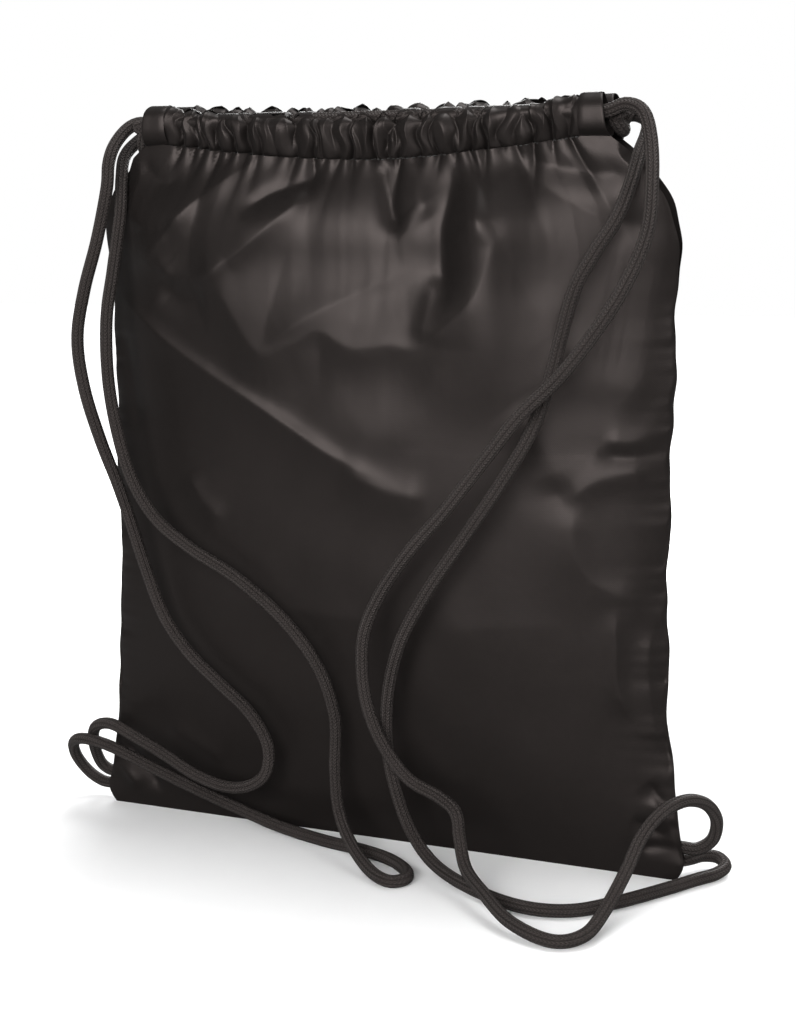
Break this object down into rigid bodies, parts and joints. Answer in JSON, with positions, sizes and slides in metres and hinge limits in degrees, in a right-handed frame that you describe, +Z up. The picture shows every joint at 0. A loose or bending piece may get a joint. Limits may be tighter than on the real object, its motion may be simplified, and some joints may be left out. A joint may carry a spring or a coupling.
{
  "type": "drawstring backpack",
  "caption": "Flat-cut fabric gym sack with gathered casings at the mouth, drawn shut by cords that also serve as shoulder straps sewn in at the bottom corners.",
  "frame": {"origin": "middle of the bag's footprint on the floor, cords left out", "axes": "+Z up, -Y towards the side that carries the straps, +X towards the right as that side is looked at"},
  "size_m": [0.4059, 0.1975, 0.4215],
  "materials": {
    "satin_panel": "satin",
    "satin_casing": "satin",
    "seam_allowance": "matte",
    "cord_braid": "matte",
    "sewing_thread": "matte"
  },
  "bodies": {
    "root": {"strap_side_panel": "satin_panel", "outer_panel": "satin_panel", "left_side_seam": "seam_allowance", "right_side_seam": "seam_allowance", "bottom_seam": "seam_allowance", "left_cord_anchor": "sewing_thread", "right_cord_anchor": "sewing_thread", "strap_side_casing_left": "satin_casing", "outer_casing_left": "satin_casing", "strap_side_casing_right": "satin_casing", "outer_casing_right": "satin_casing", "left_cord_feed_front": "cord_braid", "left_cord_feed_rear": "cord_braid", "right_cord_feed_front": "cord_braid", "right_cord_feed_rear": "cord_braid", "left_strap_front": "cord_braid", "left_strap_rear": "cord_braid", "right_strap_front": "cord_braid", "right_strap_rear": "cord_braid"},
    "left_mouth_end": {"strap_side_left_hem": "satin_casing", "outer_left_hem": "satin_casing"},
    "right_mouth_end": {"strap_side_right_hem": "satin_casing", "outer_right_hem": "satin_casing"},
    "right_drawcord": {"right_cord_loop": "cord_braid"},
    "left_drawcord": {"left_cord_loop": "cord_braid"}
  },
  "joints": [
    {"name": "left_mouth_gather", "type": "slide", "parent": "root", "child": "left_mouth_end", "axis": [1, 0, 0], "range_m": [-0.045, 0.07], "deforming": ["strap_side_casing_left", "outer_casing_left", "left_cord_feed_front", "left_cord_feed_rear", "left_strap_front", "left_strap_rear"]},
    {"name": "right_mouth_gather", "type": "slide", "parent": "root", "child": "right_mouth_end", "axis": [-1, 0, 0], "range_m": [-0.045, 0.07], "deforming": ["strap_side_casing_right", "outer_casing_right", "right_cord_feed_front", "right_cord_feed_rear", "right_strap_front", "right_strap_rear"]},
    {"name": "right_cord_slide", "type": "slide", "parent": "root", "child": "right_drawcord", "axis": [1, 0, 0], "range_m": [-0.045, 0.07]},
    {"name": "left_cord_slide", "type": "slide", "parent": "root", "child": "left_drawcord", "axis": [-1, 0, 0], "range_m": [-0.045, 0.07]}
  ],
  "couplings": [
    {"joint": "right_cord_slide", "follows": "left_mouth_gather", "ratio": 1},
    {"joint": "left_cord_slide", "follows": "right_mouth_gather", "ratio": 1}
  ]
}
